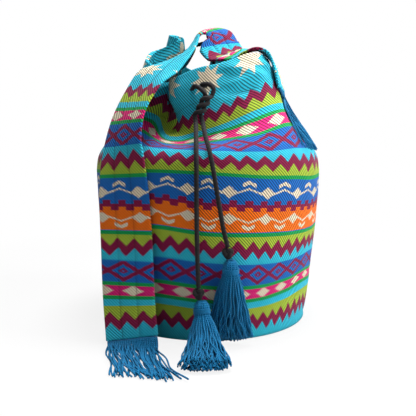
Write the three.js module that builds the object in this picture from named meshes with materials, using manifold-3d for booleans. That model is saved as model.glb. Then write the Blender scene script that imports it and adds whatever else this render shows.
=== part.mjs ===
// A woven bucket bag: a tube of banded cloth on a round base, its mouth gathered on a drawcord that is tied
// in front in a half knot and ends in two yarn tassels. A doubled band of the same cloth is the strap. It
// hangs down the front left, crosses the mouth in a loop over the bare cord and ends on the right shoulder.
// Millimetres, +Z up. The origin is the middle of the base on the ground, and the front faces -Y.
import * as THREE from 'three';
import { mergeVertices } from 'three/addons/utils/BufferGeometryUtils.js';
import Module from 'manifold-3d';

// Body
const BELLY_RADIUS = 136;
const BELLY_HEIGHT = 178;
const BASE_HALF_WIDTH = 119;
const BASE_HALF_DEPTH = 125;
const BASE_THICKNESS = 4;
const BASE_EDGE_INSET = 1;
const WALL_THICKNESS = 2.4;
const CLEARANCE = 0.3;

// Gathered neck. The slumped front is lower and further in than the taut sides and back.
const NECK_RADIUS = 75;
const RIM_HEIGHT = 317;
const SLUMPED_NECK_RADIUS = 75;
const SLUMPED_RIM_HEIGHT = 293;
const NECK_DEPTH_RATIO = 0.9;
const CREASES = [[-125, 0.8], [-80, 0.5], [-40, 1], [65, 0.55], [105, 0.6], [145, 0.8]];
const CREASE_DEPTH = 32;
const CREASE_HALF_WIDTH = 18;
const CREASE_SQUEEZE = 0.85;

// Cloth heights, counted along the cloth from the middle of its pattern, BELLY_CLOTH below the belly
const BELLY_CLOTH = 32;
const BASE_CLOTH = -142;
const RIM_CLOTH = 183;
const BACK_RIM_RISE = 34;
const SIDE_RIM_DIP = 20;
const SADDLE_DIP = 40;
const GATHER_FROM = 52;
const GATHER_TO = 140;
const BACK_SEAM_ANGLE = -170;
const NOTCH_DEPTH = 34;
const NOTCH_HALF_WIDTH = 14;

// Hem and drawcord
const HEM_EDGE_THICKNESS = 4.4;
const HEM_DEPTH = 45;
const CORD_BELOW_RIM = 23;
const CORD_DIAMETER = 5;
const CASING_COVER = 1.6;
const CASING_CLEARANCE = 0.7;
const EXIT_LEFT_ANGLE = -8.2;
const EXIT_RIGHT_ANGLE = -2.4;
const KNOT_TURNS = 1.5;

// Strap
const STRAP_WIDTH = 57;
const STRAP_THICKNESS = 3.6;
const STRAP_CURL = 200;
const FRINGE_LENGTH_LEFT = 80;
const FRINGE_LENGTH_RIGHT = 80;
const FRINGE_STRANDS = 14;
const STRAND_DIAMETER = 3.2;

// Tassels
const TASSEL_NECK_DIAMETER = 15;
const TASSEL_RIBS = 12;
const BINDING_WIDTH = 4;
const BINDING_THICKNESS = 1.2;
const END_KNOT_DIAMETER = 11;

const SLICES = 72;
const cordRadius = CORD_DIAMETER / 2;
const toRadians = Math.PI / 180;

function mix(a, b, share) {
  return a + (b - a) * share;
}

function smoothstep(from, to, value) {
  return THREE.MathUtils.smoothstep(value, from, to);
}

// A raised cosine: 1 at its middle and 0 from halfWidth on
function hump(offset, halfWidth) {
  const share = Math.min(1, Math.abs(offset) / halfWidth);
  return 0.5 + 0.5 * Math.cos(Math.PI * share);
}

// A smooth curve through rows of [station, value, value, ...], evaluated at a station
function curveThrough(rows, station) {
  const last = rows.length - 1;
  let i = rows.findIndex((row) => row[0] > station) - 1;
  if (i === -2) i = last - 1;
  i = THREE.MathUtils.clamp(i, 0, last - 1);
  const before = rows[Math.max(i - 1, 0)];
  const [from, to] = [rows[i], rows[i + 1]];
  const after = rows[Math.min(i + 2, last)];
  const span = to[0] - from[0];
  const t = (station - from[0]) / span;
  return from.slice(1).map((value, k) => {
    const slopeFrom = (to[k + 1] - before[k + 1]) / (to[0] - before[0]);
    const slopeTo = (after[k + 1] - value) / (after[0] - from[0]);
    const rise = to[k + 1] - value;
    const bend = (1 - t) * (slopeFrom * span - rise) - t * (slopeTo * span - rise);
    return value + t * rise + t * (1 - t) * bend;
  });
}

// Profiles as [cloth height, share of the way from neck to belly radius, share of the way up to the rim]
const TAUT_SHOULDER = [
  [BELLY_CLOTH, 1, 0],
  [48, 0.964, 0.111],
  [61.5, 0.866, 0.201],
  [85, 0.661, 0.345],
  [107, 0.446, 0.482],
  [136, 0.25, 0.676],
  [160, 0.125, 0.842],
  [RIM_CLOTH, 0, 1],
  [RIM_CLOTH + BACK_RIM_RISE, -0.2, 1.23],
];
const SLUMPED_SHOULDER = [
  [BELLY_CLOTH, 1, 0],
  [48, 0.959, 0.122],
  [61.5, 0.836, 0.2],
  [85, 0.475, 0.256],
  [98, 0.295, 0.304],
  [107, 0.23, 0.365],
  [136, 0.18, 0.609],
  [160, 0.098, 0.809],
  [RIM_CLOTH, 0, 1],
  [RIM_CLOTH + BACK_RIM_RISE, -0.18, 1.28],
];
// From the base up to the belly: [cloth height, share of the way from base to belly radius]
const BODY_SIDE = [
  [BASE_CLOTH, 0],
  [-130, 0.2],
  [-60, 0.64],
  [0, 0.94],
  [BELLY_CLOTH, 1],
];

// How far the cloth at a given angle slumps, from 0 (taut) to 1
function slump(angle) {
  return smoothstep(-52, -14, angle) * (1 - smoothstep(-4, 46, angle));
}

function angleBetween(a, b) {
  return Math.abs(((a - b + 540) % 360) - 180);
}

// The top edge stands higher at the back left, lower on the right and where the strap presses it down on the
// left. Rows: middle angle, half width in degrees, rise along the cloth
const EDGE_SWELLS = [
  [-148, 58, BACK_RIM_RISE],
  [68, 45, -SIDE_RIM_DIP],
  [-54, 56, -SADDLE_DIP],
];

// The cloth height of the top edge
function edgeCloth(angle) {
  let cloth = RIM_CLOTH;
  for (const [middle, halfWidth, rise] of EDGE_SWELLS) {
    cloth += rise * hump(angleBetween(angle, middle), halfWidth);
  }
  return cloth;
}

// The edge is notched at the back seam.
function rimCloth(angle) {
  const fromSeam = angleBetween(angle, BACK_SEAM_ANGLE) / NOTCH_HALF_WIDTH;
  return edgeCloth(angle) - NOTCH_DEPTH * (1 - smoothstep(0.55, 1, fromSeam));
}

function casingCloth(angle) {
  return edgeCloth(angle) - CORD_BELOW_RIM;
}

// The angle taken up inside the creases between the front and the given cloth angle
function squeezed(angle) {
  let total = 0;
  for (const [middle] of CREASES) {
    const share = THREE.MathUtils.clamp((angle - middle) / CREASE_HALF_WIDTH, -1, 1);
    total += (CREASE_HALF_WIDTH * (share + 1 + Math.sin(Math.PI * share) / Math.PI)) / 2;
  }
  return total * CREASE_SQUEEZE;
}

// The outer face of the cloth: angle in degrees from the front, positive to +X, and height along the cloth
function wallPoint(angle, cloth) {
  const gather = smoothstep(GATHER_FROM, GATHER_TO, cloth);
  const slumped = slump(angle);
  let radiusX;
  let radiusY;
  let height;
  if (cloth <= BELLY_CLOTH) {
    const [share] = curveThrough(BODY_SIDE, cloth);
    const up = (cloth - BASE_CLOTH) / (BELLY_CLOTH - BASE_CLOTH);
    radiusX = mix(BASE_HALF_WIDTH, BELLY_RADIUS, share);
    radiusY = mix(BASE_HALF_DEPTH, BELLY_RADIUS, share);
    height = mix(BASE_THICKNESS + CLEARANCE, BELLY_HEIGHT, up);
  } else {
    const [tautOut, tautUp] = curveThrough(TAUT_SHOULDER, cloth);
    const [slumpedOut, slumpedUp] = curveThrough(SLUMPED_SHOULDER, cloth);
    const taut = mix(NECK_RADIUS, BELLY_RADIUS, tautOut);
    const sunk = mix(SLUMPED_NECK_RADIUS, BELLY_RADIUS, slumpedOut);
    radiusX = mix(taut, sunk, slumped);
    const tautHeight = mix(BELLY_HEIGHT, RIM_HEIGHT, tautUp);
    const sunkHeight = mix(BELLY_HEIGHT, SLUMPED_RIM_HEIGHT, slumpedUp);
    height = mix(tautHeight, sunkHeight, slumped);
    for (const [middle, depth] of CREASES) {
      radiusX -= gather * CREASE_DEPTH * depth * hump(angle - middle, CREASE_HALF_WIDTH);
    }
    const back = smoothstep(90, 150, Math.abs(angle));
    radiusY = radiusX * mix(1, NECK_DEPTH_RATIO, gather * back);
  }
  const lobeShare = 1 - (CREASE_SQUEEZE * CREASE_HALF_WIDTH * CREASES.length) / 360;
  const gatheredAngle = (angle - squeezed(angle) + squeezed(0)) / lobeShare;
  const turn = mix(angle, gatheredAngle, gather) * toRadians;
  return new THREE.Vector3(radiusX * Math.sin(turn), -radiusY * Math.cos(turn), height);
}

// The outward direction of the cloth
function wallNormal(angle, cloth) {
  const step = 0.5;
  const around = wallPoint(angle + step, cloth).sub(wallPoint(angle - step, cloth));
  const up = wallPoint(angle, cloth + step).sub(wallPoint(angle, cloth - step));
  return around.cross(up).normalize();
}

function wallAt(angle, cloth, outward) {
  return wallPoint(angle, cloth).addScaledVector(wallNormal(angle, cloth), outward);
}

// The cloth is one layer, and from HEM_DEPTH below its edge two layers that bulge over the cord.
function wallThickness(angle, cloth) {
  const belowRim = rimCloth(angle) - cloth;
  const doubled = mix(WALL_THICKNESS, HEM_EDGE_THICKNESS, 1 - smoothstep(0.6, 1, belowRim / HEM_DEPTH));
  const casing = CORD_DIAMETER + 2 * (CASING_CLEARANCE + CASING_COVER);
  return mix(doubled, casing, hump(cloth - casingCloth(angle), HEM_DEPTH - CORD_BELOW_RIM));
}

// A closed solid from rings of equally many points, each ring closed, the first and last ring capped
function ringSolid(rings) {
  const count = rings[0].length;
  const points = rings.flat();
  const index = [];
  for (let i = 0; i + 1 < rings.length; i++) {
    for (let j = 0; j < count; j++) {
      const next = (j + 1) % count;
      const [a, b, c, d] = [i * count + j, i * count + next, (i + 1) * count + next, (i + 1) * count + j];
      index.push(a, b, c, a, c, d);
    }
  }
  for (const [ring, flip] of [[0, true], [rings.length - 1, false]]) {
    const middle = new THREE.Vector3();
    rings[ring].forEach((p) => middle.addScaledVector(p, 1 / count));
    points.push(middle);
    const hub = points.length - 1;
    for (let j = 0; j < count; j++) {
      const [a, b] = [ring * count + j, ring * count + ((j + 1) % count)];
      index.push(hub, flip ? b : a, flip ? a : b);
    }
  }
  return facingOut(new THREE.BufferGeometry().setFromPoints(points).setIndex(index));
}

// Turns every face over if the solid came out inside out
function facingOut(geometry) {
  const position = geometry.getAttribute('position');
  const index = geometry.getIndex();
  const corners = [new THREE.Vector3(), new THREE.Vector3(), new THREE.Vector3()];
  let volume = 0;
  for (let i = 0; i < index.count; i += 3) {
    corners.forEach((corner, k) => corner.fromBufferAttribute(position, index.getX(i + k)));
    volume += corners[0].dot(corners[1].clone().cross(corners[2]));
  }
  if (volume < 0) geometry.setIndex(Array.from(index.array).reverse());
  return geometry;
}

function circle(diameter, sides) {
  const shape = new THREE.Shape();
  shape.absarc(0, 0, diameter / 2, 0, 2 * Math.PI);
  return { shape, curveSegments: sides / 2 };
}

// A tube along a smooth curve through the given points
function tube(points, diameter, steps, sides = 8) {
  const { shape, curveSegments } = circle(diameter, sides);
  const extrudePath = new THREE.CatmullRomCurve3(points, false, 'centripetal');
  const options = { steps, curveSegments, extrudePath, bevelEnabled: false };
  const geometry = new THREE.ExtrudeGeometry(shape, options);
  return facingOut(welded(geometry));
}

function welded(geometry) {
  geometry.deleteAttribute('normal');
  geometry.deleteAttribute('uv');
  return mergeVertices(geometry, 1e-4);
}

const wasm = await Module();
wasm.setup();

function solidOf(geometry) {
  const vertProperties = new Float32Array(geometry.getAttribute('position').array);
  const triVerts = new Uint32Array(geometry.getIndex().array);
  return new wasm.Manifold(new wasm.Mesh({ numProp: 3, vertProperties, triVerts }));
}

function geometryOf(solid) {
  const mesh = solid.getMesh();
  const geometry = new THREE.BufferGeometry();
  geometry.setAttribute('position', new THREE.Float32BufferAttribute(mesh.vertProperties, 3));
  return geometry.setIndex(Array.from(mesh.triVerts));
}

// Body wall: an outer and an inner face that meet at the base edge and over the rim
const BODY_ROWS = [BASE_CLOTH, -130, -76, -20, BELLY_CLOTH, 47, 61, 78, 98, 120];
const HEM_ROWS = [1, 0.76, 0.51, 0.26, 0].map((share) => share * HEM_DEPTH);

function bodyWall(cordPath, cordSteps) {
  const columns = [];
  for (let i = 0; i < SLICES; i++) {
    const angle = -180 + (360 * i) / SLICES;
    const rows = [...BODY_ROWS, ...HEM_ROWS.map((below) => rimCloth(angle) - below)];
    const outer = rows.map((cloth) => wallPoint(angle, cloth));
    const inner = rows.map((cloth) => wallAt(angle, cloth, -wallThickness(angle, cloth)));
    columns.push([...outer, ...inner.reverse()]);
  }
  const count = columns[0].length;
  const index = [];
  for (let i = 0; i < SLICES; i++) {
    const next = (i + 1) % SLICES;
    for (let j = 0; j < count; j++) {
      const above = (j + 1) % count;
      const [a, b, c, d] = [i * count + j, next * count + j, next * count + above, i * count + above];
      index.push(a, b, c, a, c, d);
    }
  }
  const cloth = facingOut(new THREE.BufferGeometry().setFromPoints(columns.flat()).setIndex(index));
  const bore = CORD_DIAMETER + 2 * CASING_CLEARANCE;
  let solid = solidOf(cloth).subtract(solidOf(tube(cordPath, bore, cordSteps)));
  for (const [exit, inside] of [cordPath.slice(0, 2), cordPath.slice(-2).reverse()]) {
    const mouth = [pastExit(inside, exit, -CORD_DIAMETER / 2), pastExit(inside, exit, 2 * CORD_DIAMETER)];
    solid = solid.subtract(solidOf(tube(mouth, bore, 1)));
  }
  return geometryOf(solid);
}

function basePanel() {
  const radius = BASE_HALF_WIDTH - BASE_EDGE_INSET;
  const edge = BASE_THICKNESS / 2;
  const profile = new THREE.Path();
  profile.moveTo(0, 0);
  profile.lineTo(radius - edge, 0);
  profile.absarc(radius - edge, edge, edge, -Math.PI / 2, Math.PI / 2, false);
  profile.lineTo(0, BASE_THICKNESS);
  const geometry = new THREE.LatheGeometry(profile.getPoints(2), 40);
  const deep = (BASE_HALF_DEPTH - BASE_EDGE_INSET) / radius;
  geometry.rotateX(Math.PI / 2);
  geometry.scale(1, deep, 1);
  return facingOut(welded(geometry));
}

// Drawcord: in at the front left exit, round the left side in the hem, bare across the notch at the back,
// where it is drawn forward under the strap, and round the right side to the front right exit
function casingPoint(angle) {
  return wallAt(angle, casingCloth(angle), -(cordRadius + CASING_CLEARANCE + CASING_COVER));
}

function exitPoint(angle) {
  return wallAt(angle, casingCloth(angle), cordRadius);
}

// Points in the hem from one angle to another, evenly spaced
function hemPoints(from, to) {
  const count = Math.round(Math.abs(to - from) / 5);
  return Array.from({ length: count + 1 }, (_, i) => casingPoint(mix(from, to, i / count)));
}

function vectors(rows) {
  return rows.map((row) => new THREE.Vector3(...row));
}

const EXIT_BEND = 3;
const BARE_CORD = [
  [-29, 52, 330],
  [-19, 48, 336],
  [-9, 39, 337.5],
  [-1, 31, 337.5],
  [6, 31, 336.5],
  [9, 41, 332],
  [8, 54, 324],
];
const drawcordPoints = [
  exitPoint(EXIT_LEFT_ANGLE),
  ...hemPoints(EXIT_LEFT_ANGLE - EXIT_BEND, BACK_SEAM_ANGLE + NOTCH_HALF_WIDTH),
  ...vectors(BARE_CORD),
  ...hemPoints(BACK_SEAM_ANGLE + 360 - NOTCH_HALF_WIDTH - 2, EXIT_RIGHT_ANGLE + EXIT_BEND),
  exitPoint(EXIT_RIGHT_ANGLE),
];
const DRAWCORD_STEPS = 108;

// A point on the straight way out of an exit, given the last two points of the cord there
function pastExit(inside, exit, distance) {
  return exit.clone().addScaledVector(exit.clone().sub(inside).normalize(), distance);
}

// Half knot: each end of the cord leaves its exit, and the two turn round each other on the way down
const KNOT_TOP = new THREE.Vector3(0, -94, 259.5);
const KNOT_BOTTOM = new THREE.Vector3(-10.5, -95.5, 238);
const knotRadius = cordRadius + 4 * CLEARANCE;

function knotPoints(startAngle) {
  const axis = KNOT_BOTTOM.clone().sub(KNOT_TOP).normalize();
  const front = new THREE.Vector3(0, -1, 0).addScaledVector(axis, axis.y).normalize();
  const side = axis.clone().cross(front);
  const count = 9;
  return Array.from({ length: count + 1 }, (_, i) => {
    const turn = startAngle + 2 * Math.PI * KNOT_TURNS * (i / count);
    const point = KNOT_TOP.clone().lerp(KNOT_BOTTOM, i / count);
    return point
      .addScaledVector(front, knotRadius * Math.cos(turn))
      .addScaledVector(side, knotRadius * Math.sin(turn));
  });
}

// The tails hang over the slumped shoulder and the belly. Their last point is on top of the end knot.
const TAIL_LEFT = [
  [-13, -99.5, 231],
  [-12.3, -118, 217],
  [-11.8, -136.5, 198],
  [-11.6, -141.5, 180],
  [-11.5, -143, 150],
  [-11.2, -145, 120],
  [-10.5, -147.5, 90],
  [-9.5, -150, 63.5],
];
const TAIL_RIGHT = [
  [-5.8, -99.5, 231],
  [-3, -118, 217],
  [2, -136.5, 198],
  [5.5, -141.5, 180],
  [10.5, -142, 150],
  [15.5, -142.5, 122],
  [20, -143, 103.5],
];

const TO_KNOT_FROM_RIGHT = [[1, -89, 271.5], [6, -92.5, 266.5]];
const TO_KNOT_FROM_LEFT = [[-10, -89.5, 268]];

function tailPoints(inside, exit, toKnot, startAngle, hanging) {
  return [
    pastExit(inside, exit, CLEARANCE),
    pastExit(inside, exit, 0.7 * CORD_DIAMETER),
    ...vectors(toKnot),
    ...knotPoints(startAngle),
    ...vectors(hanging),
  ];
}

function endKnot(tailEnd) {
  const geometry = new THREE.SphereGeometry(END_KNOT_DIAMETER / 2, 10, 8);
  geometry.translate(tailEnd[0], tailEnd[1], tailEnd[2] - END_KNOT_DIAMETER / 2 - CLEARANCE);
  return facingOut(welded(geometry));
}

// Tassel: a hank of yarn, round at its head and bound neck and spreading into a ribbed skirt.
// Rows: share of the length, half width and half depth of the skirt as shares of the neck's, rib height
const TASSEL_FORM = [
  [0, 0.35, 0.35, 0],
  [0.05, 0.85, 0.85, 0],
  [0.1, 1, 1, 0],
  [0.18, 1, 1, 0],
  [0.26, 1.4, 1.2, 0.05],
  [0.45, 1.9, 1.3, 0.08],
  [0.7, 2.4, 1.1, 0.1],
  [0.9, 2.8, 0.75, 0.12],
  [1, 2.95, 0.5, 0.12],
];
const BINDING_AT = 0.14;
const TASSEL_LEFT_WAY = [[0, 0, 0], [0.5, -2, -12], [2, -10, -27], [3, -30, -39.8], [4.5, -65, -46.6]];
const TASSEL_RIGHT_WAY = [[0, 0, 0], [0, 0.5, -12], [-0.5, 3, -45], [-1, 6, -88]];

function tasselCurve(tailEnd, way) {
  const drop = END_KNOT_DIAMETER + 2 * CLEARANCE;
  const top = new THREE.Vector3(tailEnd[0] + 3, tailEnd[1], tailEnd[2] - drop);
  return new THREE.CatmullRomCurve3(vectors(way).map((p) => p.add(top)));
}

function tassel(curve) {
  const neck = TASSEL_NECK_DIAMETER / 2;
  const across = 3 * TASSEL_RIBS;
  const rings = TASSEL_FORM.map(([share, wide, deep, rib]) => {
    const middle = curve.getPointAt(share);
    const along = curve.getTangentAt(share);
    const side = new THREE.Vector3(1, 0, 0).addScaledVector(along, -along.x).normalize();
    const out = along.clone().cross(side);
    return Array.from({ length: across }, (_, j) => {
      const turn = (2 * Math.PI * j) / across;
      const ridge = 1 + rib * Math.cos(TASSEL_RIBS * turn);
      return middle
        .clone()
        .addScaledVector(side, neck * wide * ridge * Math.cos(turn))
        .addScaledVector(out, neck * deep * ridge * Math.sin(turn));
    });
  });
  return ringSolid(rings);
}

function binding(curve) {
  const inner = TASSEL_NECK_DIAMETER / 2 + 2 * CLEARANCE;
  const outer = inner + BINDING_THICKNESS;
  const half = BINDING_WIDTH / 2;
  const profile = [
    [inner, -half],
    [outer, -half / 2],
    [outer, half / 2],
    [inner, half],
    [inner, -half],
  ].map(([x, y]) => new THREE.Vector2(x, y));
  const geometry = new THREE.LatheGeometry(profile, 20);
  const upright = new THREE.Vector3(0, 1, 0);
  const along = curve.getTangentAt(BINDING_AT);
  geometry.applyQuaternion(new THREE.Quaternion().setFromUnitVectors(upright, along));
  geometry.translate(...curve.getPointAt(BINDING_AT).toArray());
  return facingOut(welded(geometry));
}

// Strap stations: [angle round the bag, distance out, height, facing angle, facing tilt up, curl], with the
// distance and height counted from the belly on the hanging leg and from the neck and rim above it
const STRAP_LEG = [
  [-28.6, 27, -0.948 * BELLY_HEIGHT, -12, 0, 0],
  [-31.9, 19.5, -0.75 * BELLY_HEIGHT, -12, 0, 0],
  [-34.7, 13.5, -0.41 * BELLY_HEIGHT, -13, 0, 0],
  [-36.7, 11, -0.16 * BELLY_HEIGHT, -16, 0, 0],
  [-39.2, 7, 12, -30, 5, 0],
  [-40.5, 4, 28, -40, 15, 0],
];
const STRAP_LOOP = [
  [-41.9, 54, -81, -47, 22, 0],
  [-42, 32, -49, -44, 35, 0],
  [-44, 6, -25, -30, 48, 0.1],
  [-49, -16, -13, -46, 52, 0.1],
  [-62, -37.9, -4, -71.7, 39.1, 0.1],
  [-96.2, -56.3, 6.5, -80.4, 20.3, 0.1],
  [-116.9, -58, 20.3, -81.9, -3.1, 0.1],
  [-129.5, -62, 31.2, -91.4, 82.8, 0.12],
  [168.5, -67, 30.9, 49.6, 92, 0.12],
  [127.8, -64.1, 24.4, 59.9, 14.7, 0.12],
  [103.9, -60, 11.9, 14.7, 31, 0.1],
  [74.6, -52.5, 4.8, 20.5, 28.2, 0.1],
  [68.1, -40.4, -0.7, 43.5, 53.8, 0],
  [68, -25.5, 1.8, 21.7, 72, 0],
  [71, -11, 3, 60, 72, 0],
  [75, 0, -5, 77, 48, 0],
  [77, 9, -22, 77, 22, 0],
  [77, 15, -44, 77, 14, 0],
];

function strapStations() {
  const placed = (radius, base) => ([turn, out, up, facing, tilt, curl]) => {
    const angle = turn * toRadians;
    const reach = radius + out;
    const face = facing * toRadians;
    const rise = tilt * toRadians;
    return {
      middle: new THREE.Vector3(reach * Math.sin(angle), -reach * Math.cos(angle), base + up),
      facing: new THREE.Vector3(
        Math.sin(face) * Math.cos(rise),
        -Math.cos(face) * Math.cos(rise),
        Math.sin(rise),
      ),
      curl: new THREE.Vector3(curl, 0, 0),
    };
  };
  return [
    ...STRAP_LEG.map(placed(BELLY_RADIUS, BELLY_HEIGHT)),
    ...STRAP_LOOP.map(placed(NECK_RADIUS, RIM_HEIGHT)),
  ];
}

const stations = strapStations();
const strapCurve = new THREE.CatmullRomCurve3(stations.map((s) => s.middle), false, 'centripetal');
const facingCurve = new THREE.CatmullRomCurve3(stations.map((s) => s.facing));
const curlCurve = new THREE.CatmullRomCurve3(stations.map((s) => s.curl));

// Middle, side and facing directions of the strap at a share of its stations
function strapFrame(share) {
  const along = strapCurve.getTangent(share);
  const facing = facingCurve.getPoint(share);
  facing.addScaledVector(along, -facing.dot(along)).normalize();
  return { middle: strapCurve.getPoint(share), facing, side: along.clone().cross(facing) };
}

// A point across the strap: across runs from -1 to 1, outward from the middle layer
function strapPoint(share, across, outward) {
  const { middle, facing, side } = strapFrame(share);
  const half = (across * STRAP_WIDTH) / 2;
  const bend = (Math.max(curlCurve.getPoint(share).x, 1e-4) * STRAP_CURL * toRadians) / STRAP_WIDTH;
  const turn = half * bend;
  const radius = 1 / bend + outward;
  return middle
    .addScaledVector(side, radius * Math.sin(turn))
    .addScaledVector(facing, radius * Math.cos(turn) - 1 / bend);
}

function strap() {
  const steps = 64;
  const across = [-1, -0.5, 0, 0.5, 1];
  const rings = [];
  for (let i = 0; i <= steps; i++) {
    const share = i / steps;
    const outer = across.map((a) => strapPoint(share, a, STRAP_THICKNESS / 2));
    const inner = across.map((a) => strapPoint(share, a, -STRAP_THICKNESS / 2));
    rings.push([...outer, ...inner.reverse()]);
  }
  return ringSolid(rings);
}

// Fringe: strands that hang from a bar along the strap's end, whose tips drift to one side
function fringe(end, strandPoints) {
  const outward = end === 0 ? -1 : 1;
  const edge = [-0.97, 0.97].map((across) => {
    const along = strapCurve.getTangent(end).multiplyScalar(outward * (CLEARANCE + STRAND_DIAMETER / 2));
    return strapPoint(end, across, 0).add(along);
  });
  let solid = solidOf(tube(edge, STRAND_DIAMETER, 1, 6));
  for (let i = 0; i < FRINGE_STRANDS; i++) {
    const root = edge[0].clone().lerp(edge[1], (i + 0.5) / FRINGE_STRANDS);
    solid = solid.add(solidOf(tube(strandPoints(root, i), STRAND_DIAMETER, 4, 6)));
  }
  return geometryOf(solid);
}

// The left fringe lies on the ground, and the right one on the shoulder below the strap's end.
const SHOULDER_FRINGE = { from: 47, to: 86, turn: 9, cloth: 134, lift: 2.2 };

function layingStrand(root, i) {
  const ground = STRAND_DIAMETER / 2 + 2 * CLEARANCE;
  const uneven = FRINGE_LENGTH_LEFT * (1 + 0.05 * Math.sin(2.4 * i));
  const drift = 0.25 * uneven;
  return [
    root,
    new THREE.Vector3(root.x + 1, root.y - 8, ground + 2),
    new THREE.Vector3(root.x + 0.35 * drift, root.y - 0.4 * uneven, ground),
    new THREE.Vector3(root.x + drift, root.y - uneven, ground),
  ];
}

function hangingStrand(root, i) {
  const { from, to, turn, cloth, lift } = SHOULDER_FRINGE;
  const uneven = FRINGE_LENGTH_RIGHT * (1 + 0.05 * Math.sin(2.1 * i));
  const angle = mix(from, to, (i + 0.5) / FRINGE_STRANDS);
  const lying = [0.3, 0.6, 0.95].map((share) => {
    return wallAt(angle + turn * share, cloth - share * uneven, STRAND_DIAMETER / 2 + lift);
  });
  return [root, ...lying];
}

const group = new THREE.Group();

function add(name, geometry, color, roughness) {
  const material = new THREE.MeshStandardMaterial({ color, roughness, metalness: 0 });
  const mesh = new THREE.Mesh(geometry, material);
  mesh.name = name;
  group.add(mesh);
}

const CLOTH_COLOUR = 0x2f9fb4;
const BASE_COLOUR = 0x20242a;
const CORD_COLOUR = 0x2a2829;
const YARN_COLOUR = 0x1373b8;

add('body_wall', bodyWall(drawcordPoints, DRAWCORD_STEPS), CLOTH_COLOUR, 0.9);
add('base_panel', basePanel(), BASE_COLOUR, 0.95);
add('strap', strap(), CLOTH_COLOUR, 0.9);
add('strap_fringe_left', fringe(0, layingStrand), YARN_COLOUR, 0.85);
add('strap_fringe_right', fringe(1, hangingStrand), YARN_COLOUR, 0.85);
add('drawcord_run', tube(drawcordPoints, CORD_DIAMETER, DRAWCORD_STEPS), CORD_COLOUR, 0.8);
const TAIL_STEPS = 72;
const [last, beforeLast] = [drawcordPoints.at(-1), drawcordPoints.at(-2)];
const tailSides = [
  {
    name: 'left',
    tail: TAIL_LEFT,
    route: tailPoints(beforeLast, last, TO_KNOT_FROM_RIGHT, -Math.PI / 2, TAIL_LEFT),
    way: TASSEL_LEFT_WAY,
  },
  {
    name: 'right',
    tail: TAIL_RIGHT,
    route: tailPoints(drawcordPoints[1], drawcordPoints[0], TO_KNOT_FROM_LEFT, Math.PI / 2, TAIL_RIGHT),
    way: TASSEL_RIGHT_WAY,
  },
];
for (const { name, tail, route, way } of tailSides) {
  const tailEnd = tail[tail.length - 1];
  const curve = tasselCurve(tailEnd, way);
  add(`drawcord_tail_${name}`, tube(route, CORD_DIAMETER, TAIL_STEPS), CORD_COLOUR, 0.8);
  add(`end_knot_${name}`, endKnot(tailEnd), CORD_COLOUR, 0.8);
  add(`tassel_${name}`, tassel(curve), YARN_COLOUR, 0.85);
  add(`tassel_binding_${name}`, binding(curve), YARN_COLOUR, 0.85);
}

export default group;
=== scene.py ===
# A woven bucket bag with a drawcord, tassels and a fringed strap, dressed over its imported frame.
# Shapes are worked out in millimetres as in the part's source and go into Blender in metres.
import math
import random
from functools import partialmethod

import bpy
import numpy as np
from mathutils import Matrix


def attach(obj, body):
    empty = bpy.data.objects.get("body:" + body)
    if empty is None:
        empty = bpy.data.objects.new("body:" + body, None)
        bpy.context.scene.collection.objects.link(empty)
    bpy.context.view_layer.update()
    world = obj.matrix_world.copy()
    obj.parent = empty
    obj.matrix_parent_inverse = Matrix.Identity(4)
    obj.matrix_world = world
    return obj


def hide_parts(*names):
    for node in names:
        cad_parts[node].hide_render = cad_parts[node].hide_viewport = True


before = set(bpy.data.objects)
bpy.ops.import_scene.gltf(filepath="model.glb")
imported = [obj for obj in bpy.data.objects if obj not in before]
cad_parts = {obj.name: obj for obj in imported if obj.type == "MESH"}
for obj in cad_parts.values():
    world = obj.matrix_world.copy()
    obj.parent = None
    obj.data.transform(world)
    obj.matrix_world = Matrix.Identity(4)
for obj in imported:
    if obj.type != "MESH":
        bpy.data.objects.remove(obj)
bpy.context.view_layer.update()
MM = 0.001
scene = bpy.context.scene
rng = random.Random(7)


# Camera, floor and light

SENSOR_WIDTH, LENS = 36, 48.4
CAMERA_PLACE, CAMERA_DOWN = (0, -0.70, 0.20), 5.8
# Each light: its place, what it points at, its size and its power
LIGHTS = {
    "key": ((1.25, -0.3, 0.85), (0, 0, 0.16), 0.7, 22),
    "fill": ((-0.3, -1.5, 0.8), (0, 0, 0.16), 0.9, 1.2),
    "top": ((0.15, 0.05, 1.4), (0, 0, 0.2), 0.6, 26),
}

camera_data = bpy.data.cameras.new("camera")
camera_data.sensor_width = SENSOR_WIDTH
camera_data.lens = LENS
camera = bpy.data.objects.new("camera", camera_data)
camera.location = CAMERA_PLACE
camera.rotation_euler = (math.radians(90 - CAMERA_DOWN), 0, 0)
scene.collection.objects.link(camera)
scene.camera = camera
scene.view_settings.view_transform = "Standard"


def new_material(name):
    material = bpy.data.materials.new(name)
    material.use_nodes = True
    material.node_tree.nodes.clear()
    return material, material.node_tree


def node(tree, kind, **settings):
    made = tree.nodes.new(kind)
    for key, value in settings.items():
        setattr(made, key, value)
    return made


def background(tree, strength):
    made = node(tree, "ShaderNodeBackground")
    made.inputs["Color"].default_value = (1, 1, 1, 1)
    made.inputs["Strength"].default_value = strength
    return made


def mixed_shader(tree, share, first, second):
    made = node(tree, "ShaderNodeMixShader")
    tree.links.new(share, made.inputs[0])
    tree.links.new(first.outputs[0], made.inputs[1])
    tree.links.new(second.outputs[0], made.inputs[2])
    return made


FLOOR_SIZE = 6
FLOOR_DROP = 0.0004
FLOOR_GREY = 0.65
FLOOR_GLOW_NEAR = 0.86
FLOOR_FADE_FROM, FLOOR_FADE_TO = 0.3, 0.8
AMBIENT = 0.11


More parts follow.
